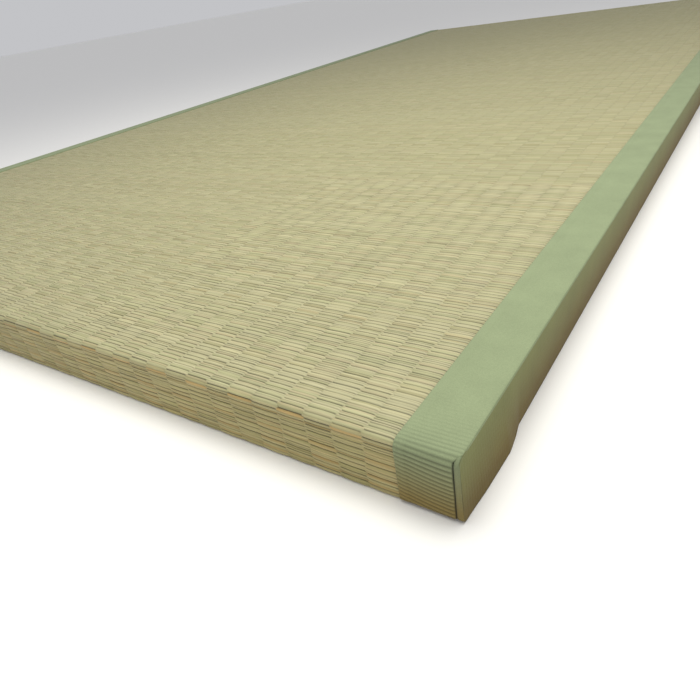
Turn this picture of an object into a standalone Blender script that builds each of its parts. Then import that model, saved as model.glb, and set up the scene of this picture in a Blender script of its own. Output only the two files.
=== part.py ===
"""A bordered tatami mat: a rush-covered slab with a cloth border folded round each long side.

Metres, +Z up. The origin is the centre of the underside. X runs across the mat, along the rushes,
and Y runs along the cloth borders. Every size comes from the driving dimensions below.
"""

import math

import bmesh
import bpy

# The whole mat.
MAT_WIDTH = 0.880
MAT_LENGTH = 1.760
MAT_HEIGHT = 0.033

# The rush weave: a cell is the width that a rush covers before it dips under the next ones.
CELL_PITCH = 0.015
CELL_COUNT = 55
CELL_RISE = 0.0008
CELL_PROFILE = ((0.0, 0.0), (0.2, 0.75), (0.5, 1.0), (0.8, 0.75))

# The border cloth, folded double, and the space that touching pieces keep.
CLOTH = 0.0012
SEAT_GAP = 0.00032
STEP_RUN = 0.0002

# The folded edge of the border on top, which stands above the rest of the strip.
FOLD_WIDTH = 0.005
FOLD_DROP = 0.0002

# The seam near each corner, where the flap over the mat's end laps onto the side cloth.
SEAM_FROM_SIDE = 0.0025
SEAM_DROP = 0.0004

# The rounded edges where the mat's ends meet its top and its underside.
END_ROUND = 0.0045
FOOT_ROUND = 0.0025
END_ARC_STEPS = 4
FOOT_ARC_STEPS = 3

# The tuck at each corner: distance from the mat's end and how far the side cloth stands out there.
TUCK = ((0.010, 0.0011), (0.020, 0.0019), (0.034, 0.0024), (0.046, 0.0028), (0.056, 0.0015), (0.064, 0.0))

HALF_WIDTH = MAT_WIDTH / 2
HALF_LENGTH = MAT_LENGTH / 2
BORDER_EDGE = CELL_COUNT * CELL_PITCH / 2
BODY_INSET = CLOTH + SEAT_GAP
QUARTER_TURN = math.pi / 2


def clear_scene():
    """Removes what the startup scene holds."""
    for obj in list(bpy.data.objects):
        bpy.data.objects.remove(obj, do_unlink=True)


def make_material(name, colour, roughness):
    """A plain cloth or rush finish."""
    material = bpy.data.materials.new(name)
    material.use_nodes = True
    shader = material.node_tree.nodes["Principled BSDF"]
    shader.inputs["Base Color"].default_value = (*colour, 1.0)
    shader.inputs["Roughness"].default_value = roughness
    shader.inputs["Metallic"].default_value = 0.0
    return material


def object_from_shape(name, shape, material):
    """Turns a bmesh into a named object with outward faces."""
    bmesh.ops.recalc_face_normals(shape, faces=shape.faces)
    mesh = bpy.data.meshes.new(name)
    shape.to_mesh(mesh)
    shape.free()
    mesh.materials.append(material)
    obj = bpy.data.objects.new(name, mesh)
    bpy.context.scene.collection.objects.link(obj)
    return obj


def end_outline(inset, base):
    """Half of the mat's lengthwise outline, from the floor up over one end to the top.

    Each item is (distance in from the mat's end, z, share that faces the end, share that faces up).
    """
    foot = FOOT_ROUND - inset
    shoulder = END_ROUND - inset
    points = []
    for step in range(FOOT_ARC_STEPS + 1):
        angle = QUARTER_TURN * step / FOOT_ARC_STEPS
        out, down = math.sin(angle), math.cos(angle)
        points.append((FOOT_ROUND - foot * out, base + foot * (1 - down), out, 0.0))
    for step in range(END_ARC_STEPS + 1):
        angle = QUARTER_TURN * step / END_ARC_STEPS
        out, up = math.cos(angle), math.sin(angle)
        points.append((END_ROUND - shoulder * out, MAT_HEIGHT - END_ROUND + shoulder * up, out, up))
    return points


def outline(inset, base, end_drop=0.0, top_drop=0.0, stations=()):
    """The closed lengthwise outline as (y, z) points, this far inside the mat's outside.

    The drops sink the faces that look to the ends and up. Stations add points along top and floor.
    """
    half = [
        (from_end + end_drop * out, z - top_drop * up)
        for from_end, z, out, up in end_outline(inset, base)
    ]
    top = half[-1][1]
    front_top = [(from_end, top) for from_end in stations]
    front_floor = [(from_end, base) for from_end in reversed(stations)]
    near = [(-HALF_LENGTH + from_end, z) for from_end, z in front_floor + half + front_top]
    return near + [(-y, z) for y, z in reversed(near)]


def add_ring(shape, x, points):
    """Adds the vertices of one outline at x."""
    return [shape.verts.new((x, y, z)) for y, z in points]


def join_rings(shape, first, second):
    """Adds the band of quads between two rings of the same count."""
    count = len(first)
    for i in range(count):
        after = (i + 1) % count
        shape.faces.new((first[i], first[after], second[after], second[i]))


def cell_stations():
    """(x, share of the rise) across the rushes, from one border to the other."""
    stations = []
    limit = BORDER_EDGE - SEAT_GAP - STEP_RUN
    for cell in range(CELL_COUNT):
        start = -BORDER_EDGE + cell * CELL_PITCH
        for share, rise in CELL_PROFILE:
            stations.append((max(start + share * CELL_PITCH, -limit), rise))
    stations.append((limit, 0.0))
    return stations


def make_rush_mat(material):
    """The slab in its woven rush cover: ribbed on top and ends, flat beneath, sunk under the borders."""
    shape = bmesh.new()
    sunk = outline(BODY_INSET, BODY_INSET)
    side = HALF_WIDTH - BODY_INSET
    step = BORDER_EDGE - SEAT_GAP
    rings = [add_ring(shape, -side, sunk), add_ring(shape, -step, sunk)]
    for x, rise in cell_stations():
        drop = CELL_RISE * (1 - rise)
        points = outline(BODY_INSET - CELL_RISE, 0.0, end_drop=drop, top_drop=drop)
        rings.append(add_ring(shape, x, points))
    rings.extend([add_ring(shape, step, sunk), add_ring(shape, side, sunk)])
    for first, second in zip(rings, rings[1:]):
        join_rings(shape, first, second)
    shape.faces.new(rings[0])
    shape.faces.new(rings[-1])
    return object_from_shape("rush_mat", shape, material)


def close_side(shape, ring):
    """Fills the border's long side with strips that run from the floor to the top."""
    count = len(ring)
    tuck = len(TUCK)
    half = count // 2
    top_start = half - tuck
    shape.faces.new(ring[tuck - 1:top_start + 1])
    shape.faces.new(ring[half + tuck - 1:count - tuck + 1])
    for i in range(tuck - 1):
        shape.faces.new((ring[i], ring[i + 1], ring[half - 2 - i], ring[half - 1 - i]))
        far = half + i
        shape.faces.new((ring[far], ring[far + 1], ring[count - 2 - i], ring[count - 1 - i]))
    shape.faces.new((ring[0], ring[half - 1], ring[half], ring[-1]))


def make_border(name, side, material):
    """One strip of border cloth, folded over the top, the long side, both ends and the underside."""
    shape = bmesh.new()
    distances = [from_end for from_end, _ in TUCK]
    seam = HALF_WIDTH - SEAM_FROM_SIDE
    fold = BORDER_EDGE + FOLD_WIDTH
    sections = (
        (BORDER_EDGE, 0.0, 0.0),
        (fold, 0.0, 0.0),
        (fold + STEP_RUN, 0.0, FOLD_DROP),
        (seam, 0.0, FOLD_DROP),
        (seam + STEP_RUN, SEAM_DROP, FOLD_DROP),
        (HALF_WIDTH, SEAM_DROP, FOLD_DROP),
    )
    outer = [
        add_ring(shape, side * x, outline(0.0, 0.0, end_drop, top_drop, distances))
        for x, end_drop, top_drop in sections
    ]
    inner = [
        add_ring(shape, side * x, outline(CLOTH, CLOTH, stations=distances))
        for x in (BORDER_EDGE, HALF_WIDTH - CLOTH)
    ]
    for first, second in zip(outer, outer[1:]):
        join_rings(shape, first, second)
    join_rings(shape, inner[0], inner[1])
    join_rings(shape, outer[0], inner[0])
    shape.faces.new(inner[1])
    close_side(shape, outer[-1])
    flares = dict(TUCK)
    for vertex in outer[-1]:
        if vertex.co.z < CLOTH:
            vertex.co.x += side * flares.get(round(HALF_LENGTH - abs(vertex.co.y), 6), 0.0)
    return object_from_shape(name, shape, material)


def main():
    clear_scene()
    rush = make_material("woven_rush", (0.52, 0.49, 0.29), 0.6)
    cloth = make_material("border_cloth", (0.38, 0.47, 0.27), 0.75)
    make_rush_mat(rush)
    make_border("border_right", 1, cloth)
    make_border("border_left", -1, cloth)


main()
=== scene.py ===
import enum
import logging
import math
from dataclasses import dataclass, field
from typing import Iterable, Mapping, Sequence

import bpy
import numpy as np
from mathutils import Matrix, Vector


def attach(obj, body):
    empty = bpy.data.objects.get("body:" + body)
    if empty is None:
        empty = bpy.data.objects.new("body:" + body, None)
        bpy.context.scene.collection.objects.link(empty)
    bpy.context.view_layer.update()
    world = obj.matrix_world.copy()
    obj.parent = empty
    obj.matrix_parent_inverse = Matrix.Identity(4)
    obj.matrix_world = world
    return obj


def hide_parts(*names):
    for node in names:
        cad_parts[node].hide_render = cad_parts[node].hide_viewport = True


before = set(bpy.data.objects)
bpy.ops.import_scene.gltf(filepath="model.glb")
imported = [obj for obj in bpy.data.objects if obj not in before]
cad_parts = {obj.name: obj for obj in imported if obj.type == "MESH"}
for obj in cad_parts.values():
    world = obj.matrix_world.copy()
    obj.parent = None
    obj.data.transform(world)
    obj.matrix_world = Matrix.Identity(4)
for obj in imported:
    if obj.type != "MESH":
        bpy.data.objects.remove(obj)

LOG = logging.getLogger("tatami")
SEED = 20

# Names that a node shader reads from the meshes.
RELIEF = "relief"
TINT = "tint"


class Slot(enum.Enum):
    """The record's material slots."""

    RUSH = "woven_rush"
    CLOTH = "border_cloth"


class Side(enum.Enum):
    """The two long sides of the mat, as the sign of x."""

    RIGHT = 1
    LEFT = -1


def to_linear(code: str) -> tuple[float, float, float, float]:
    """Turns an sRGB hex code into a linear colour.

    Args:
        code: Six hex digits after a hash.

    Returns:
        Red, green, blue and an alpha of one.
    """
    levels = (int(code[i : i + 2], 16) / 255 for i in (1, 3, 5))
    red, green, blue = (v / 12.92 if v <= 0.04045 else ((v + 0.055) / 1.055) ** 2.4 for v in levels)
    return (red, green, blue, 1.0)


def add_node(
    tree: bpy.types.NodeTree,
    kind: str,
    settings: Mapping[str | int, object] | None = None,
    links: Mapping[str | int, bpy.types.NodeSocket] | None = None,
) -> bpy.types.Node:
    """Adds a shader node with its settings and incoming links.

    Args:
        tree: The node tree to add to.
        kind: The node's type name.
        settings: Input sockets, by name or number, or properties, and their values.
        links: Input sockets and the output sockets that feed them.

    Returns:
        The new node.
    """
    node = tree.nodes.new(kind)
    properties = {k: v for k, v in (settings or {}).items() if isinstance(k, str) and hasattr(node, k)}
    for key, value in properties.items():
        setattr(node, key, value)
    for key, value in (settings or {}).items():
        if key not in properties:
            node.inputs[key].default_value = value
    for key, socket in (links or {}).items():
        tree.links.new(socket, node.inputs[key])
    return node


@dataclass(frozen=True)
class MatSizes:
    """The mat's sizes in metres, the same as the solids'."""

    width: float = 0.880
    length: float = 1.760
    height: float = 0.033
    cell: float = 0.015
    cells: int = 55
    cloth: float = 0.0012
    cover_inset: float = 0.0015
    end_round: float = 0.0045
    foot_round: float = 0.0025

    @property
    def border_edge(self) -> float:
        """Distance from the mat's middle to a border's inner edge."""
        return self.cell * self.cells / 2

    @property
    def border_width(self) -> float:
        """What shows of a border on top."""
        return self.width / 2 - self.border_edge


@dataclass(frozen=True)
class EndToEnd:
    """The line from the front foot up, over the top and down to the back foot.

    Attributes:
        sizes: The mat's sizes.
        inset: How far inside the mat's outside the line runs.
        base: Height of its lowest points above the floor.
    """

    sizes: MatSizes
    inset: float
    base: float = 0.0

    @property
    def foot(self) -> float:
        """Radius of the turn at the floor."""
        return self.sizes.foot_round - self.inset

    @property
    def shoulder(self) -> float:
        """Radius of the turn where the end meets the top."""
        return self.sizes.end_round - self.inset

    @property
    def marks(self) -> tuple[float, float, float]:
        """Distances along the line where the foot, the end face and the shoulder end."""
        foot = self.foot * math.pi / 2
        face = foot + self.sizes.height - self.sizes.end_round - self.base - self.foot
        return (foot, face, face + self.shoulder * math.pi / 2)

    @property
    def length(self) -> float:
        """The whole line's length."""
        return 2 * (self.marks[2] + self.sizes.length / 2 - self.sizes.end_round)

    def at(self, along: np.ndarray) -> tuple[np.ndarray, np.ndarray, np.ndarray, np.ndarray]:
        """Finds points and outward directions along the line.

        Args:
            along: Distances from the front foot, of any shape.

        Returns:
            y, z and the y and z shares of the outward direction, each shaped like along.
        """
        sizes = self.sizes
        near = np.minimum(along, self.length - along)
        foot_end, face_end, shoulder_end = self.marks
        foot_turn = np.clip(near / self.foot, 0, math.pi / 2)
        turn = np.clip((near - face_end) / self.shoulder, 0, math.pi / 2)
        rise = np.clip(near - foot_end, 0, face_end - foot_end)
        run = np.maximum(near - shoulder_end, 0)
        low = near < foot_end
        high = near > face_end
        from_end = np.where(low, sizes.foot_round - self.foot * np.sin(foot_turn), self.inset)
        from_end = np.where(high, sizes.end_round - self.shoulder * np.cos(turn) + run, from_end)
        z = np.where(low, self.base + self.foot * (1 - np.cos(foot_turn)), self.base + self.foot + rise)
        z = np.where(high, sizes.height - sizes.end_round + self.shoulder * np.sin(turn), z)
        out = np.where(low, np.sin(foot_turn), np.cos(turn))
        up = np.where(high, np.sin(turn), 0.0)
        sign = np.where(along < self.length / 2, -1.0, 1.0)
        return sign * (sizes.length / 2 - from_end), z, sign * out, up


@dataclass
class Surface:
    """A mesh in the making: points, quads, and what the shaders read from them."""

    points: np.ndarray
    quads: np.ndarray
    relief: np.ndarray
    tint: np.ndarray

    @classmethod
    def from_grids(
        cls, points: np.ndarray, relief: np.ndarray, tint: np.ndarray, flip: bool = False
    ) -> "Surface":
        """Makes a surface of one or more grids of the same size.

        Args:
            points: Shape (grids, rows, columns, 3).
            relief: Shape (grids, rows, columns).
            tint: Colour of each quad, shape (grids, rows - 1, columns - 1, 4).
            flip: True to turn the quads over.

        Returns:
            The surface.
        """
        grids, rows, columns = relief.shape
        index = np.arange(grids * rows * columns).reshape(grids, rows, columns)
        corners = [index[:, :-1, :-1], index[:, :-1, 1:], index[:, 1:, 1:], index[:, 1:, :-1]]
        quads = np.stack(corners[::-1] if flip else corners, axis=-1).reshape(-1, 4)
        return cls(points.reshape(-1, 3), quads, relief.ravel(), tint.reshape(-1, 4))

    @classmethod
    def joined(cls, surfaces: Sequence["Surface"]) -> "Surface":
        """Puts surfaces side by side in one mesh.

        Args:
            surfaces: The surfaces, in order.

        Returns:
            One surface that holds them all.
        """
        offsets = np.cumsum([0] + [len(s.points) for s in surfaces[:-1]])
        return cls(
            np.concatenate([s.points for s in surfaces]),
            np.concatenate([s.quads + offset for s, offset in zip(surfaces, offsets)]),
            np.concatenate([s.relief for s in surfaces]),
            np.concatenate([s.tint for s in surfaces]),
        )

    def to_object(self, name: str, material: bpy.types.Material) -> bpy.types.Object:
        """Builds the mesh object, smooth shaded.

        Args:
            name: The piece's name.
            material: Its finish.

        Returns:
            The object, linked to the scene.
        """
        mesh = bpy.data.meshes.new(name)
        mesh.vertices.add(len(self.points))
        mesh.vertices.foreach_set("co", self.points.astype(np.float32).ravel())
        mesh.loops.add(self.quads.size)
        mesh.loops.foreach_set("vertex_index", self.quads.astype(np.int32).ravel())
        mesh.polygons.add(len(self.quads))
        mesh.polygons.foreach_set("loop_start", np.arange(len(self.quads), dtype=np.int32) * 4)
        mesh.update(calc_edges=True)
        mesh.polygons.foreach_set("use_smooth", np.full(len(self.quads), True))
        relief = mesh.attributes.new(RELIEF, "FLOAT", "POINT")
        relief.data.foreach_set("value", self.relief.astype(np.float32))
        tint = mesh.attributes.new(TINT, "FLOAT_COLOR", "FACE")
        tint.data.foreach_set("color", self.tint.astype(np.float32).ravel())
        mesh.materials.append(material)
        obj = bpy.data.objects.new(name, mesh)
        bpy.context.scene.collection.objects.link(obj)
        return obj


@dataclass(frozen=True)
class RushFinish:
    """Dried rush: pale straw and green stalks with a slight wax sheen, and painted shade in the gaps."""

    gap_shade_colour: str = "#2C2914"
    roughness: float = 0.55
    streak_per_metre: float = 1400.0

    def build(self) -> bpy.types.Material:
        """Builds the material.

        Returns:
            A stalk colour read from the mesh, darkened into the gaps as painted shade and streaked along
            each stalk.
        """
        material = bpy.data.materials.new("dried_rush")
        material.use_nodes = True
        tree = material.node_tree
        shader = tree.nodes["Principled BSDF"]
        # The eye gets dry, matt stalks with a soft shine along their tops.
        shader.inputs["IOR"].default_value = 1.45
        shader.inputs["Roughness"].default_value = self.roughness
        place = add_node(tree, "ShaderNodeTexCoord")
        stretch = add_node(
            tree,
            "ShaderNodeMapping",
            {"Scale": (0.03, 1.0, 1.0)},
            {"Vector": place.outputs["Object"]},
        )
        streak = add_node(
            tree,
            "ShaderNodeTexNoise",
            {"Scale": self.streak_per_metre, "Detail": 3.0, "Roughness": 0.6},
            {"Vector": stretch.outputs["Vector"]},
        )
        stalk = add_node(tree, "ShaderNodeAttribute", {"attribute_name": TINT})
        shade = add_node(
            tree,
            "ShaderNodeMapRange",
            {"From Min": 0.3, "From Max": 0.7, "To Min": 0.86, "To Max": 1.1},
            {"Value": streak.outputs["Fac"]},
        )
        streaked = add_node(
            tree,
            "ShaderNodeVectorMath",
            {"operation": "SCALE"},
            {0: stalk.outputs["Color"], "Scale": shade.outputs["Result"]},
        )
        height = add_node(tree, "ShaderNodeAttribute", {"attribute_name": RELIEF})
        # Painted shade: low relief mixes the colour towards the dark gap colour, standing in for the shade
        # between and under the stalks.
        depth = add_node(
            tree,
            "ShaderNodeMapRange",
            {"From Min": 0.0, "From Max": 0.85, "To Min": 1.0, "To Max": 0.0},
            {"Value": height.outputs["Fac"]},
        )
        colour = add_node(
            tree,
            "ShaderNodeMix",
            {"data_type": "RGBA", 7: to_linear(self.gap_shade_colour)},
            {0: depth.outputs["Result"], 6: streaked.outputs["Vector"]},
        )
        bump = add_node(
            tree,
            "ShaderNodeBump",
            {"Strength": 0.25, "Distance": 0.0002},
            {"Height": streak.outputs["Fac"]},
        )
        tree.links.new(colour.outputs[2], shader.inputs["Base Color"])
        tree.links.new(bump.outputs["Normal"], shader.inputs["Normal"])
        return material


@dataclass(frozen=True)
class ClothFinish:
    """Ribbed cotton border cloth: muted leaf green, matt, with fine threads and painted shade in its
    furrows.
    """

    rib_pitch: float = 0.0021
    rib_depth: float = 0.00005
    thread_per_metre: float = 2600.0
    roughness: float = 0.8

    def build(self) -> bpy.types.Material:
        """Builds the material.

        Returns:
            A cloth colour read from the mesh, darkened by painted shade where the relief is low, with
            faint ribs across the strip and fine threads.
        """
        material = bpy.data.materials.new("ribbed_cotton")
        material.use_nodes = True
        tree = material.node_tree
        shader = tree.nodes["Principled BSDF"]
        # The eye gets matt cloth whose fibres catch a little light at a low angle.
        shader.inputs["IOR"].default_value = 1.5
        shader.inputs["Roughness"].default_value = self.roughness
        shader.inputs["Specular IOR Level"].default_value = 0.3
        shader.inputs["Sheen Weight"].default_value = 0.06
        shader.inputs["Sheen Roughness"].default_value = 0.5
        place = add_node(tree, "ShaderNodeTexCoord")
        ribs = add_node(
            tree,
            "ShaderNodeTexWave",
            {
                "wave_type": "BANDS",
                "bands_direction": "Y",
                "Scale": math.tau / (20.0 * self.rib_pitch),
                "Distortion": 0.6,
                "Detail": 1.0,
                "Detail Scale": 3.0,
            },
            {"Vector": place.outputs["Object"]},
        )
        threads = add_node(
            tree,
            "ShaderNodeTexNoise",
            {"Scale": self.thread_per_metre, "Detail": 2.0},
            {"Vector": place.outputs["Object"]},
        )
        cloud = add_node(
            tree,
            "ShaderNodeTexNoise",
            {"Scale": 55.0, "Detail": 3.0},
            {"Vector": place.outputs["Object"]},
        )
        base = add_node(tree, "ShaderNodeAttribute", {"attribute_name": TINT})
        height = add_node(tree, "ShaderNodeAttribute", {"attribute_name": RELIEF})
        grain = add_node(
            tree,
            "ShaderNodeMapRange",
            {"From Min": 0.3, "From Max": 0.7, "To Min": 0.9, "To Max": 1.1},
            {"Value": threads.outputs["Fac"]},
        )
        faded = add_node(
            tree,
            "ShaderNodeMapRange",
            {"From Min": 0.3, "From Max": 0.7, "To Min": 0.94, "To Max": 1.05},
            {"Value": cloud.outputs["Fac"]},
        )
        # Painted shade: low relief in the rib furrows, the seam and the flap's edge darkens the cloth down
        # to half.
        painted_furrow_shade = add_node(
            tree,
            "ShaderNodeMapRange",
            {"From Min": 0.0, "From Max": 1.0, "To Min": 0.5, "To Max": 1.06},
            {"Value": height.outputs["Fac"]},
        )
        product = add_node(
            tree,
            "ShaderNodeMath",
            {"operation": "MULTIPLY"},
            {0: grain.outputs["Result"], 1: faded.outputs["Result"]},
        )
        total = add_node(
            tree,
            "ShaderNodeMath",
            {"operation": "MULTIPLY"},
            {0: product.outputs["Value"], 1: painted_furrow_shade.outputs["Result"]},
        )
        colour = add_node(
            tree,
            "ShaderNodeVectorMath",
            {"operation": "SCALE"},
            {0: base.outputs["Color"], "Scale": total.outputs["Value"]},
        )
        rib_bump = add_node(
            tree,
            "ShaderNodeBump",
            {"Strength": 0.6, "Distance": self.rib_depth},
            {"Height": ribs.outputs["Fac"]},
        )
        thread_bump = add_node(
            tree,
            "ShaderNodeBump",
            {"Strength": 0.5, "Distance": 0.0001},
            {"Height": threads.outputs["Fac"], "Normal": rib_bump.outputs["Normal"]},
        )
        tree.links.new(colour.outputs["Vector"], shader.inputs["Base Color"])
        tree.links.new(thread_bump.outputs["Normal"], shader.inputs["Normal"])
        return material


@dataclass(frozen=True)
class PlainFinish:
    """A plain finish of one colour."""

    name: str
    colour: str
    roughness: float

    def build(self) -> bpy.types.Material:
        """Builds the material.

        Returns:
            A matt material of the one colour.
        """
        material = bpy.data.materials.new(self.name)
        material.use_nodes = True
        shader = material.node_tree.nodes["Principled BSDF"]
        shader.inputs["Base Color"].default_value = to_linear(self.colour)
        shader.inputs["Roughness"].default_value = self.roughness
        return material


@dataclass(frozen=True)
class Fineness:
    """How finely each stalk is drawn.

    Attributes:
        along: Where a stalk's points lie along its cell, as shares of the cell.
        across: Where they lie across the stalk, as shares of its width.
        roundness: The lower, the flatter the stalk's back.
        stride: 2 draws each pair of stalks as one.
        tone: Darkens flatter stalks to the mean colour of round ones, whose gaps are deeper: painted shade
            for the gap shade the flatter stalks lack.
    """

    along: tuple[float, ...]
    across: tuple[float, ...]
    roundness: float
    stride: int = 1
    tone: float = 1.0


@dataclass(frozen=True)
class Block:
    """A block of the weave: which cells and stalks it covers, and how finely."""

    first_cell: int
    last_cell: int
    first_stalk: int
    last_stalk: int
    fineness: Fineness


FINE = Fineness((0.0, 0.054, 0.15, 0.5, 0.85, 0.946, 1.0), (0.0, 0.16, 0.5, 0.84, 1.0), 0.75)
MEDIUM = Fineness((0.0, 0.12, 0.88, 1.0), (0.0, 0.3, 0.7, 1.0), 0.5, tone=0.92)
COARSE = Fineness((0.0, 0.14, 0.86, 1.0), (0.0, 0.17, 0.83, 1.0), 0.3, stride=2, tone=0.92)


@dataclass
class RushCover:
    """The woven rush cover: stalks that arch over one cell and dip under the next.

    Attributes:
        sizes: The mat's sizes.
        stalk_pitch: Mean width of the stalks that show in one column of cells.
        stalk_rise: How far a stalk's back stands above the gaps.
        spread: How unequal the stalks' widths are.
        line_wave: How far the dipping lines stray from straight.
        overlap: How far a stalk runs on under its neighbours past each dipping line.
        twist: How far a stalk is pushed along the mat at its ends.
        pinch: How much sharper a stalk's back grows towards its ends, where the gaps widen.
        open_fills: How far the gaps between pairs of stalks are filled, and how often.
        shut_fills: The same for the gap inside each pair.
        end_shade: How much darker a stalk's very end is than its back, as painted shade where it dips
            under its neighbour; it also lowers the rise of a block's closing gap.
        pair_dip: How far a pair of stalks falls off from its middle.
        fine_cells: Columns of cells drawn finest, counted from the right border.
        middle_cells: Columns of cells up to the left pieces, counted the same way.
        far_cells: Columns of cells in the far right piece.
        fine_reach: Length from the front foot that is drawn finest.
        middle_reach: Length from the front foot up to the coarse pieces.
        palette: Colours of the stalks on top, and how often each comes.
        warm_bounce_end_palette: The same on the mat's ends, a warmer copy that is painted warm bounce
            light from the floor.
        accent: Colour of the tan rush under the front edge.
    """

    sizes: MatSizes
    stalk_pitch: float = 0.0015
    stalk_rise: float = 0.0008
    spread: float = 0.13
    line_wave: float = 0.00035
    overlap: float = 0.0009
    twist: float = 0.00045
    pinch: float = 1.3
    open_fills: tuple[tuple[float, float], ...] = ((0.0, 0.55), (0.15, 0.25), (0.35, 0.14), (0.6, 0.06))
    shut_fills: tuple[tuple[float, float], ...] = ((0.4, 0.15), (0.65, 0.35), (0.82, 0.5))
    palette: tuple[tuple[str, float], ...] = (
        ("#B3AE87", 0.36),
        ("#ABA97E", 0.26),
        ("#B7B188", 0.18),
        ("#B0A680", 0.10),
        ("#A39D73", 0.07),
        ("#ABA076", 0.03),
    )
    warm_bounce_end_palette: tuple[tuple[str, float], ...] = (
        ("#B1A673", 0.38),
        ("#A89F68", 0.28),
        ("#B0A06C", 0.20),
        ("#AD955A", 0.08),
        ("#9C8B55", 0.06),
    )
    accent: str = "#B99E64"
    end_shade: float = 0.24
    pair_dip: float = 0.28
    fine_cells: int = 16
    middle_cells: int = 36
    far_cells: int = 18
    fine_reach: float = 0.33
    middle_reach: float = 0.55
    path: EndToEnd = field(init=False)
    count: int = field(init=False)
    gaps: np.ndarray = field(init=False)
    slants: np.ndarray = field(init=False)
    fills: np.ndarray = field(init=False)
    heights: np.ndarray = field(init=False)
    colours: np.ndarray = field(init=False)

    def __post_init__(self) -> None:
        """Draws every stalk's place, height and colour once, so that all the pieces agree."""
        self.path = EndToEnd(self.sizes, self.sizes.cover_inset)
        self.count = 2 * round(self.path.length / self.stalk_pitch / 2)
        draw = np.random.default_rng(SEED)
        cells, count = self.sizes.cells, self.count
        parity = np.arange(cells) % 2
        shared = draw.normal(0, 1, (2, count))[parity]
        own = draw.normal(0, 1, (cells, count))
        widths = np.exp(self.spread * np.clip(0.75 * shared + 0.65 * own, -2.0, 2.0))
        widths[:, 0] *= 1 + 0.5 * parity
        ends = np.cumsum(widths, axis=1)
        self.gaps = np.concatenate([np.zeros((cells, 1)), ends / ends[:, -1:] * self.path.length], axis=1)
        self.slants = np.clip(draw.normal(0, 0.07, (cells, count + 1)), -0.14, 0.14) * self.stalk_pitch
        self.slants[:, (0, -1)] = 0.0
        self.fills = np.empty((cells, count + 1))
        for first, table in enumerate((self.open_fills, self.shut_fills)):
            levels, shares = zip(*table)
            columns = self.fills[:, first::2]
            columns[:] = draw.choice(levels, columns.shape, p=shares)
        self.heights = self.stalk_rise * np.clip(draw.normal(0.86, 0.09, (cells, count)), 0.6, 1.0)
        self.colours = self.draw_colours(draw, parity)

    def draw_colours(self, draw: np.random.Generator, parity: np.ndarray) -> np.ndarray:
        """Picks each visible stalk's colour: a stalk keeps most of its colour from cell to cell.

        Args:
            draw: The source of random numbers.
            parity: For each cell, which of the two sets of stalks shows.

        Returns:
            Linear colours, shape (cells, stalks, 4).
        """
        cells, count = len(parity), self.count
        both = []
        for table in (self.palette, self.warm_bounce_end_palette):
            codes = np.array([to_linear(code) for code, _ in table])
            shares = np.array([share for _, share in table])
            stalk = codes[draw.choice(len(table), (2, count), p=shares)][parity]
            cell = codes[draw.choice(len(table), (cells, count), p=shares)]
            both.append(0.75 * stalk + 0.25 * cell)
        middles = (self.gaps[:, 1:] + self.gaps[:, :-1]) / 2
        near = np.minimum(middles, self.path.length - middles)
        # Painted warm bounce light: stalks on the ends take the warmer end colours.
        on_end = np.clip((self.path.marks[1] + 0.003 - near) / 0.004, 0, 1)[..., None]
        colours = both[0] * (1 - on_end) + both[1] * on_end
        colours[..., :3] *= draw.normal(1.0, 0.035, (cells, count, 1))
        # One tan rush lies just under the front edge and shows in every second column.
        under_edge = np.abs(middles - self.path.marks[1]).argmin(axis=1)
        for cell in np.flatnonzero(parity == 1):
            colours[cell, under_edge[cell]] = to_linear(self.accent)
        return colours

    def line(self, number: np.ndarray, along: np.ndarray) -> np.ndarray:
        """Finds x of the dipping lines, each of which strays a little from straight.

        Args:
            number: The line's number, 0 at the left border.
            along: Distance along the path.

        Returns:
            x, in metres.
        """
        inner = ((number > 0) & (number < self.sizes.cells)).astype(float)
        sway = np.sin(along * 95.0 + number * 1.7) + 0.6 * np.sin(along * 310.0 + number * 4.1)
        return -self.sizes.border_edge + number * self.sizes.cell + inner * self.line_wave * sway

    def block_surface(self, block: Block) -> Surface:
        """Builds the stalks of one block.

        Args:
            block: The cells, the stalks and the fineness.

        Returns:
            One strip of stalks for each column of cells.
        """
        fineness = block.fineness
        cells = np.arange(block.first_cell, block.last_cell)
        stalks = np.arange(block.first_stalk, block.last_stalk, fineness.stride)
        edges_at = slice(block.first_stalk, block.last_stalk + 1, fineness.stride)
        u = np.array(fineness.along)
        v = np.array(fineness.across)[:-1]
        gaps = self.gaps[cells, edges_at, None]
        settled = np.minimum(gaps, self.path.length - gaps) > 0
        push = self.twist * np.sign(u - 0.5) * np.clip(np.abs(2 * u - 1) * 4 - 3, 0, 1) ** 2
        edges = gaps + self.slants[cells, edges_at, None] * (u - 0.5) - push * settled
        fills = self.fills[cells, edges_at, None, None]
        heights = self.heights[cells][:, stalks, None, None]
        low, high = edges[:, :-1, None, :], edges[:, 1:, None, :]
        fill = fills[:, :-1] + (fills[:, 1:] - fills[:, :-1]) * v[:, None]
        arch = np.sin(np.pi * np.clip(u, 0, 1)) ** 0.4
        arch /= arch.max()
        ridge = np.sin(np.pi * v[:, None])
        ridge /= ridge.max()
        sharpness = fineness.roundness * (1 + self.pinch * (1 - arch))
        back = fill + (1 - fill) * ridge**sharpness
        in_pair = ((stalks % 2)[:, None, None] + v[:, None]) / 2 if fineness.stride == 1 else 0.5
        dome = back * arch * (1 - self.pair_dip + self.pair_dip * np.sin(np.pi * in_pair))
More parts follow.
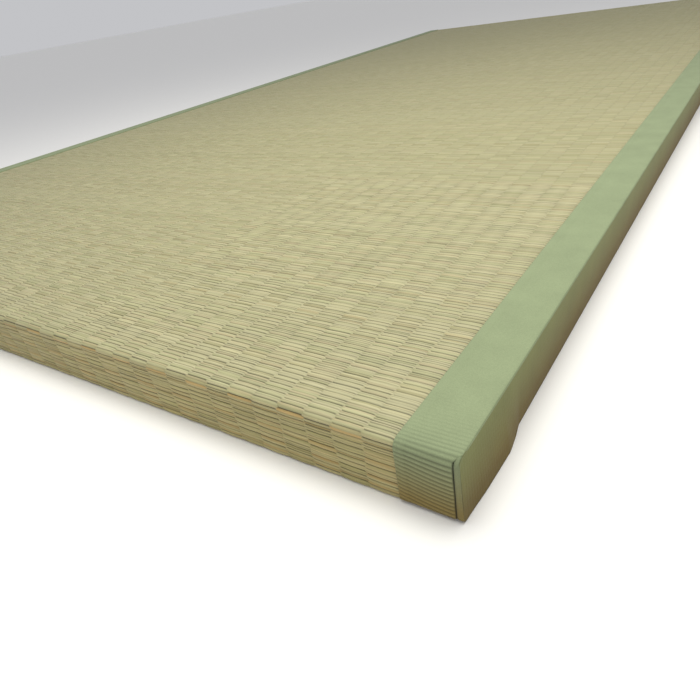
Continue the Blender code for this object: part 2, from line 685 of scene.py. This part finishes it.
        # Painted shade: relief falls towards a stalk's ends, darkening them where they dip under the next
        # stalk; the same factor lowers the closing gap's rise.
        shade = 1 - self.end_shade * (1 - arch)
        rows = (len(cells), len(stalks) * len(v), len(u))
        last_fill = fills[:, -1:, 0]
        last_rise = last_fill * shade * arch * self.stalk_rise * 0.6
        along = np.concatenate([(low + (high - low) * v[:, None]).reshape(rows), edges[:, -1:]], axis=1)
        rise = np.concatenate([(heights * dome).reshape(rows), last_rise], axis=1)
        relief = np.concatenate([(back * shade).reshape(rows), last_fill * shade], axis=1)
        number = cells[:, None, None]
        left = self.line(number, along) - self.overlap * (number > 0)
        right = self.line(number + 1, along) + self.overlap * (number + 1 < self.sizes.cells)
        x = left + (right - left) * u
        y, z, out, up = self.path.at(along)
        points = np.stack([x, y + out * rise, z + up * rise], axis=-1)
        colours = sum(self.colours[cells][:, stalks + i] for i in range(fineness.stride)) / fineness.stride
        # Painted shade: flatter blocks are darkened by their tone to match the shade in the deeper gaps of
        # the finest block.
        colours = np.repeat(colours, len(v), axis=1)[:, :, None, :] * np.array([fineness.tone] * 3 + [1.0])
        tint = np.broadcast_to(colours, (*colours.shape[:2], len(u) - 1, 4))
        return Surface.from_grids(points, relief, tint)

    def build(self, material: bpy.types.Material) -> list[bpy.types.Object]:
        """Builds the cover in pieces, finest at the corner that the photograph shows.

        Args:
            material: The rush finish.

        Returns:
            The pieces.
        """
        cells, count = self.sizes.cells, self.count
        fine = cells - self.fine_cells
        left = cells - self.middle_cells
        far = cells - self.far_cells
        near = 2 * round(self.fine_reach / (2 * self.stalk_pitch))
        middle = 2 * round(self.middle_reach / (2 * self.stalk_pitch))
        plan: dict[str, tuple[Block, ...]] = {
            "rush_cover_corner": (Block(fine, cells, 0, near, FINE),),
            "rush_cover_middle": (
                Block(left, fine, 0, middle, MEDIUM),
                Block(fine, cells, near, middle, MEDIUM),
            ),
            "rush_cover_left": (Block(0, left, 0, middle, MEDIUM),),
            "rush_cover_left_back": (Block(0, left, middle, count, COARSE),),
            "rush_cover_back": (Block(left, far, middle, count, COARSE),),
            "rush_cover_far": (Block(far, cells, middle, count, COARSE),),
        }
        pieces = []
        for name, blocks in plan.items():
            surface = Surface.joined([self.block_surface(block) for block in blocks])
            piece = surface.to_object(name, material)
            area = sum(self.flat_area(block) for block in blocks)
            wide = (blocks[-1].last_cell - blocks[0].first_cell) * self.sizes.cell
            stalks = max(b.last_stalk for b in blocks) - min(b.first_stalk for b in blocks)
            long = stalks * self.stalk_pitch
            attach(piece, "root")
            area = min(area, wide * long)
            LOG.info("%s: %d quads, %.3f square metres flat", name, len(surface.quads), area)
            pieces.append(piece)
        return pieces

    def flat_area(self, block: Block) -> float:
        """The area of a block of the weave before it was laid over the mat."""
        wide = (block.last_cell - block.first_cell) * self.sizes.cell
        return wide * (block.last_stalk - block.first_stalk) * self.stalk_pitch


@dataclass
class MatCore:
    """The slab under the cover, of which only the plain underside shows."""

    sizes: MatSizes
    clearance: float = 0.0001

    def build(self, material: bpy.types.Material) -> bpy.types.Object:
        """Builds the slab.

        Args:
            material: The underside's finish.

        Returns:
            The slab, in place of the solid.
        """
        sizes = self.sizes
        path = EndToEnd(sizes, sizes.cover_inset + self.clearance)
        face_end, shoulder_end = path.marks[1:]
        near = np.concatenate([np.linspace(0, face_end, 6), np.linspace(face_end, shoulder_end, 7)[1:]])
        y, z, _, _ = path.at(np.concatenate([near, path.length - near[::-1]]))
        count = len(y)
        half = sizes.border_edge
        corners = [(x, b, c) for x in (-half, half) for b, c in zip(y.tolist(), z.tolist())]
        faces = [tuple(range(count - 1, -1, -1)), tuple(range(count, 2 * count))]
        faces += [(i, (i + 1) % count, count + (i + 1) % count, count + i) for i in range(count)]
        mesh = bpy.data.meshes.new("mat_core")
        mesh.from_pydata(corners, [], faces)
        mesh.materials.append(material)
        core = bpy.data.objects.new("mat_core", mesh)
        bpy.context.scene.collection.objects.link(core)
        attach(core, "root")
        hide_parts("rush_mat")
        LOG.info("mat_core: %d faces", len(faces))
        return core


@dataclass
class BorderStrip:
    """One border: a strip of ribbed cloth over the top, the ends, the long side and the underside.

    Attributes:
        sizes: The mat's sizes.
        side: Which long side it covers.
        fold_width: Width of the raised band along the inner edge; not used.
        fold_drop: How far the rest of the top lies below that band.
        rib_pitch: Spacing of the ribs.
        rib_rise: Height of the ribs on the end faces.
        seam_from_side: Distance from the side to the end flap's edge.
        seam_shade: Share of the cloth's colour that is left deep in the seam, as painted shade.
        strip_shade: The same for the narrow strip beside the seam, as painted shade.
        rib_slope: How far the ribs run downhill across an end face.
        bend_run: Distance down the end over which that slope sets in.
        dense_run: Length at each end that is drawn with every rib.
        rib_fade: Distance over which the ribs fade on top, where the cloth is stretched flat.
        fold_section: From the inner lip over the fold: share of the width, and depth.
        flat_shares: Shares of the width at which the flat part has points.
        edge_section: The outer edge, like the fold.
        strip_section: The cloth beside the seam: distance from the side, and depth.
        side_inset: How far the side panel's outline lies inside the mat's.
        side_slack: How far the side panel waves.
        crease: Depth of the crease at the tuck.
        tuck: Distance from the mat's end, and how far the side cloth's foot stands out there.
    """

    sizes: MatSizes
    side: Side
    fold_width: float = 0.005
    fold_drop: float = 0.00015
    rib_pitch: float = 0.0021
    rib_rise: float = 0.00034
    seam_from_side: float = 0.0027
    seam_shade: float = 0.12
    strip_shade: float = 0.78
    rib_slope: float = 0.0032
    bend_run: float = 0.016
    dense_run: float = 0.080
    rib_fade: float = 0.030
    upper_colour: str = "#889673"
    # Painted warm bounce light: the lower colour browns the cloth towards the floor.
    lower_bounce_colour: str = "#877642"
    # Painted shade: the side colours are a darker copy of the cloth for the long side, where shade falls;
    # the lower one is also browned as painted warm bounce light.
    side_shade_colour: str = "#747A46"
    side_shade_and_bounce_colour: str = "#645420"
    fold_section: tuple[tuple[float, float], ...] = (
        (0.0, 0.00145),
        (0.0, 0.00035),
        (0.012, 0.00006),
        (0.05, 0.0),
        (0.12, 0.0),
        (0.172, 0.00003),
    )
    flat_shares: tuple[float, ...] = (0.186, 0.26, 0.38, 0.5, 0.62, 0.74, 0.86, 0.95)
    edge_section: tuple[tuple[float, float], ...] = ((0.985, 0.00028), (1.0, 0.0006), (1.0, 0.0013))
    strip_section: tuple[tuple[float, float], ...] = (
        (-0.0070, 0.0012),
        (-0.0030, 0.0012),
        (-0.0023, 0.00075),
        (-0.0016, 0.0005),
        (-0.0008, 0.00048),
        (-0.0003, 0.0006),
        (-0.00005, 0.0010),
        (0.0, 0.0016),
    )
    side_inset: float = 0.00045
    side_slack: float = 0.00015
    crease: float = 0.0003
    tuck: tuple[tuple[float, float], ...] = (
        (0.0, 0.0006),
        (0.010, 0.0011),
        (0.020, 0.0019),
        (0.034, 0.0024),
        (0.046, 0.0028),
        (0.056, 0.0015),
        (0.064, 0.0),
    )

    def tint_at(self, z: np.ndarray, painted_side_shade: bool) -> np.ndarray:
        """The cloth's colour, green above and browned towards the floor as painted warm bounce light.

        Args:
            z: Height above the floor.
            painted_side_shade: True for the long side's darker copy of the cloth, painted with the shade
                that falls there.

        Returns:
            Linear colours, shaped like z with four more numbers.
        """
        # Painted warm bounce light: the share of the brown lower colour grows towards the floor.
        share = np.clip(1.15 - z / self.sizes.height, 0, 1)[..., None] ** 1.3
        upper = np.array(to_linear(self.side_shade_colour if painted_side_shade else self.upper_colour))
        lower = np.array(to_linear(self.side_shade_and_bounce_colour if painted_side_shade else self.lower_bounce_colour))
        return upper * (1 - share) + lower * share

    def surface(self, points: np.ndarray, relief: np.ndarray, flip: bool, painted_side_shade: bool = True) -> Surface:
        """Turns one grid of points into a coloured surface, mirrored for the left side.

        Args:
            points: Shape (rows, columns, 3), for the right side.
            relief: Shape (rows, columns).
            flip: True to turn the quads over.
            painted_side_shade: True for the long side's darker copy of the cloth, which is painted shade.

        Returns:
            The surface.
        """
        placed = points * np.array([self.side.value, 1.0, 1.0])
        heights = (points[:-1, :-1, 2] + points[1:, 1:, 2]) / 2
        tint = self.tint_at(heights, painted_side_shade)
        turned = flip if self.side is Side.RIGHT else not flip
        return Surface.from_grids(placed[None], relief[None], tint[None], turned)

    def stations(self, path: EndToEnd) -> np.ndarray:
        """Finds where the wrap has points, close together near the ends.

        Args:
            path: The line over the mat from end to end.

        Returns:
            Distances along the path.
        """
        step = self.rib_pitch / 6
        near = np.arange(0, self.dense_run, step)
        far = np.linspace(self.dense_run, path.length - self.dense_run, 160)
        return np.concatenate([near, far, path.length - near[::-1]])

    def wrap(self) -> Surface:
        """Builds the part that lies on top and is folded down over both ends.

        Returns:
            The ribbed wrap.
        """
        sizes = self.sizes
        path = EndToEnd(sizes, 0.0)
        along = self.stations(path)
        near = np.minimum(along, path.length - along)
        face_end, shoulder_end = path.marks[1], path.marks[2]
        on_end = 1 - np.clip((near - face_end) / (shoulder_end - face_end), 0, 1)
        fade = np.exp(-np.maximum(near - shoulder_end, 0) / (self.rib_fade / 2))
        fade *= 1 - np.clip((near - shoulder_end) / (self.dense_run * 0.95 - shoulder_end), 0, 1)
        width = sizes.border_width - self.seam_from_side * np.clip(on_end * 1.6, 0, 1)
        sway = 0.00007 * np.sin(along * 160) + 0.00005 * np.sin(along * 411 + 1.0)
        width = width + sway * fade
        flat = tuple((share, self.fold_drop) for share in self.flat_shares)
        share, depth = np.array(self.fold_section + flat + self.edge_section).T
        x = sizes.border_edge + share * width[:, None]
        lowered = np.clip((shoulder_end - near) / self.bend_run, 0, 1)[:, None]
        bend = self.rib_slope * np.sin(share * math.pi / 2) * lowered
        phase = (np.minimum(along, path.length - along)[:, None] + bend) / self.rib_pitch
        wave = (0.5 - 0.5 * np.cos(math.tau * phase)) ** 0.6
        inside = ((share > 0.0) & (share < 0.99)).astype(float)
        band = np.where(share < 0.18, 0.8, 1.0) * inside
        amount = (0.5 + 0.5 * on_end)[:, None] * fade[:, None] * band
        settle = np.clip((near - path.marks[0] * 0.5) / 0.002, 0, 1)[:, None]
        rise = (wave - 1.0) * self.rib_rise * amount * settle
        y, z, out, up = path.at(along)
        reach = rise - depth
        low = (near < path.marks[0])[:, None]
        lift = np.where(low, np.clip(-reach, 0, 0.0012), 0.0)
        points = np.stack([
            x,
            y[:, None] + out[:, None] * reach,
            z[:, None] + up[:, None] * reach + lift * (1 - np.abs(out[:, None])),
        ], axis=-1)
        # Painted shade: this relief darkens the cloth in the rib furrows and, on the ends, along the
        # flap's turned-in outer edge.
        relief = 1 - (1 - wave) * amount
        relief[:, -2:] *= 1 - np.clip(on_end * 3, 0, 1)[:, None]
        return self.surface(points, relief, flip=True, painted_side_shade=False)

    def corner_strips(self) -> list[Surface]:
        """Builds the side cloth that comes round each corner under the end flap.

        Returns:
            The strips at the front and at the back.
        """
        sizes = self.sizes
        path = EndToEnd(sizes, 0.0)
        face_end, shoulder_end = path.marks[1:]
        over_shoulder = np.linspace(face_end, shoulder_end + 0.004, 12)[1:]
        near = np.concatenate([np.linspace(0, face_end, 24), over_shoulder])
        from_side, depth = np.array(self.strip_section).T
        # Painted shade: the deeper points beside the seam get low relief, which darkens them.
        shown = np.where(from_side < -0.001, np.clip(1 - (depth - 0.0005) / 0.0004, 0, 1), 1.0)
        surfaces = []
        for along, flip in ((near, True), (path.length - near, False)):
            y, z, out, up = path.at(along)
            flare = self.flare(np.zeros(1), z)[0][:, None] * np.clip((from_side + 0.003) / 0.003, 0, 1)
            points = np.stack([
                sizes.width / 2 + from_side + flare,
                y[:, None] - out[:, None] * depth,
                z[:, None] - up[:, None] * depth,
            ], axis=-1)
            relief = np.broadcast_to(shown, points.shape[:2])
            strip = self.surface(points, relief, flip, painted_side_shade=False)
            # Painted shade: the whole strip is darkened, and far more deep in the seam.
            strip.tint[:, :3] *= self.strip_shade
            in_seam = np.tile(from_side[1:] < -0.0021, len(along) - 1)
            strip.tint[in_seam, :3] *= self.seam_shade
            surfaces.append(strip)
        return surfaces

    def flare(self, from_end: np.ndarray, z: np.ndarray) -> np.ndarray:
        """How far the tuck pushes the side cloth out.

        Args:
            from_end: Distances from the mat's end.
            z: Heights above the floor.

        Returns:
            Shape (distances, heights).
        """
        places, amounts = zip(*self.tuck)
        foot = np.interp(from_end, places, amounts)
        return foot[:, None] * np.clip(1 - z / self.sizes.height, 0, 1) ** 1.2

    def lengthwise(self, start: float, dense: int, sparse: int) -> tuple[np.ndarray, np.ndarray]:
        """Finds places from one end of the mat to the other, close together near the ends.

        Args:
            start: Distance of the first place from the mat's end.
            dense: Number of places near each end.
            sparse: Number of places from there to the mat's middle.

        Returns:
            Distances from the nearer end, and y.
        """
        half = self.sizes.length / 2
        far = np.linspace(self.dense_run, half, sparse)[1:]
        near = np.concatenate([np.linspace(start, self.dense_run, dense), far])
        from_end = np.concatenate([near, near[::-1][1:]])
        return from_end, np.concatenate([near - half, (half - near)[::-1][1:]])

    def panel(self) -> Surface:
        """Builds the part that hangs down the long side.

        Returns:
            The panel, pushed out at the foot by the tucks.
        """
        sizes = self.sizes
        from_end, y = self.lengthwise(0.0012, 60, 50)
        inset = self.side_inset
        shoulder = sizes.end_round - inset
        foot = sizes.foot_round - inset
        over = np.clip(sizes.end_round - from_end, 0, shoulder)
        under = np.clip(sizes.foot_round - from_end, 0, foot)
        high = sizes.height - sizes.end_round + np.sqrt(shoulder**2 - over**2)
        low = np.maximum(sizes.foot_round - np.sqrt(foot**2 - under**2) - inset, 0.0)
        share = np.linspace(0, 1, 12)
        z = low[:, None] + (high - low)[:, None] * share
        flare = np.stack([self.flare(from_end[i : i + 1], z[i])[0] for i in range(len(y))])
        slack = self.side_slack * np.sin(y * 70)[:, None] * np.sin(share * math.pi)
        crease = self.crease * np.exp(-(((from_end[:, None] - 0.058 + z * 0.6) / 0.0025) ** 2))
        x = sizes.width / 2 - 0.00005 + flare + slack - crease * (1 - share)
        points = np.stack([x, np.broadcast_to(y[:, None], x.shape), z], axis=-1)
        # The panel takes the long side's darker colours: painted shade.
        return self.surface(points, np.ones(x.shape), flip=True)

    def underside(self) -> Surface:
        """Builds the part turned under the mat.

        Returns:
            The turned-under strip, with its inner edge.
        """
        sizes = self.sizes
        from_end, y = self.lengthwise(sizes.foot_round, 30, 6)
        outer = sizes.width / 2 + self.flare(from_end, np.zeros(1))[:, 0]
        inner = np.full_like(outer, sizes.border_edge)
        x = np.stack([outer, inner, inner], axis=1)
        z = np.broadcast_to(np.array([0.0, 0.0, sizes.cloth]), x.shape)
        points = np.stack([x, np.broadcast_to(y[:, None], x.shape), z], axis=-1)
        return self.surface(points, np.ones(x.shape), flip=True)

    def build(self, material: bpy.types.Material) -> bpy.types.Object:
        """Builds the border.

        Args:
            material: The cloth finish.

        Returns:
            The border, in place of its solid.
        """
        name = f"border_cloth_{self.side.name.lower()}"
        surface = Surface.joined([self.wrap(), *self.corner_strips(), self.panel(), self.underside()])
        piece = surface.to_object(name, material)
        sizes = self.sizes
        long = EndToEnd(sizes, 0.0).length
        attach(piece, "root")
        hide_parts(f"border_{self.side.name.lower()}")
        LOG.info("%s: %d quads", name, len(surface.quads))
        return piece


@dataclass(frozen=True)
class Camera:
    """The photograph's viewpoint, fitted to the mat's edges and the lines of its weave."""

    place: tuple[float, float, float] = (0.5068, -1.0126, 0.1785)
    yaw: float = math.radians(-38.64)
    pitch: float = math.radians(32.06)
    roll: float = math.radians(-10.17)
    focal_pixels: float = 564.0
    picture_pixels: float = 700.0
    sensor: float = 36.0

    def build(self) -> bpy.types.Object:
        """Adds the camera and makes it the scene's.

        Returns:
            The camera.
        """
        ahead = Vector((
            math.sin(self.yaw) * math.cos(self.pitch),
            math.cos(self.yaw) * math.cos(self.pitch),
            -math.sin(self.pitch),
        ))
        right = Vector((math.cos(self.yaw), -math.sin(self.yaw), 0.0))
        upward = right.cross(ahead)
        turned_right = right * math.cos(self.roll) + upward * math.sin(self.roll)
        turned_up = upward * math.cos(self.roll) - right * math.sin(self.roll)
        data = bpy.data.cameras.new("camera")
        data.sensor_width = self.sensor
        data.lens = self.focal_pixels / self.picture_pixels * self.sensor
        data.clip_start = 0.01
        camera = bpy.data.objects.new("camera", data)
        axes = Matrix((turned_right, turned_up, -ahead)).transposed().to_4x4()
        camera.matrix_world = Matrix.Translation(self.place) @ axes
        bpy.context.scene.collection.objects.link(camera)
        bpy.context.scene.camera = camera
        return camera


@dataclass(frozen=True)
class SoftLight:
    """One large soft lamp."""

    name: str
    place: tuple[float, float, float]
    target: tuple[float, float, float]
    size: float
    watts: float
    colour: str

    def build(self) -> bpy.types.Object:
        """Adds the lamp, aimed at its target.

        Returns:
            The lamp.
        """
        data = bpy.data.lights.new(self.name, "AREA")
        data.size = self.size
        data.energy = self.watts
        data.color = to_linear(self.colour)[:3]
        lamp = bpy.data.objects.new(self.name, data)
        lamp.location = self.place
        aim = Vector(self.target) - Vector(self.place)
        lamp.rotation_euler = aim.to_track_quat("-Z", "Y").to_euler()
        bpy.context.scene.collection.objects.link(lamp)
        return lamp


@dataclass(frozen=True)
class Studio:
    """A pale floor under soft light."""

    floor_colour: str = "#F6F5F2"
    sky_colour: str = "#FAFBFF"
    sky_strength: float = 0.57
    floor_size: float = 90.0
    floor_drop: float = 0.0004
    lamps: tuple[SoftLight, ...] = (
        SoftLight("window", (0.34, -0.66, 1.05), (0.36, -0.68, 0.0), 0.8, 11.0, "#FFFDF6"),
    )

    def build(self) -> None:
        """Adds the floor, the sky and the lamps."""
        half = self.floor_size / 2
        mesh = bpy.data.meshes.new("floor")
        plan = ((-half, -half), (half, -half), (half, half), (-half, half))
        corners = [(x, y, -self.floor_drop) for x, y in plan]
        mesh.from_pydata(corners, [], [(0, 1, 2, 3)])
        mesh.materials.append(PlainFinish("pale_floor", self.floor_colour, 0.9).build())
        floor = bpy.data.objects.new("floor", mesh)
        bpy.context.scene.collection.objects.link(floor)
        world = bpy.data.worlds.new("studio")
        world.use_nodes = True
        sky = world.node_tree.nodes["Background"]
        sky.inputs["Color"].default_value = to_linear(self.sky_colour)
        sky.inputs["Strength"].default_value = self.sky_strength
        bpy.context.scene.world = world
        for lamp in self.lamps:
            lamp.build()
        bpy.context.scene.view_settings.view_transform = "Standard"


def main() -> None:
    """Builds the mat, the light and the camera."""
    logging.basicConfig(level=logging.INFO, format="%(name)s: %(message)s")
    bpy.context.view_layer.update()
    sizes = MatSizes()
    rush = RushFinish().build()
    cloth = ClothFinish().build()
    backing = PlainFinish("plain_rush_backing", "#B8AD82", 0.8).build()
    MatCore(sizes).build(backing)
    RushCover(sizes).build(rush)
    for side in Side:
        BorderStrip(sizes, side).build(cloth)
    Studio().build()
    Camera().build()


if __name__ == "__main__":
    main()
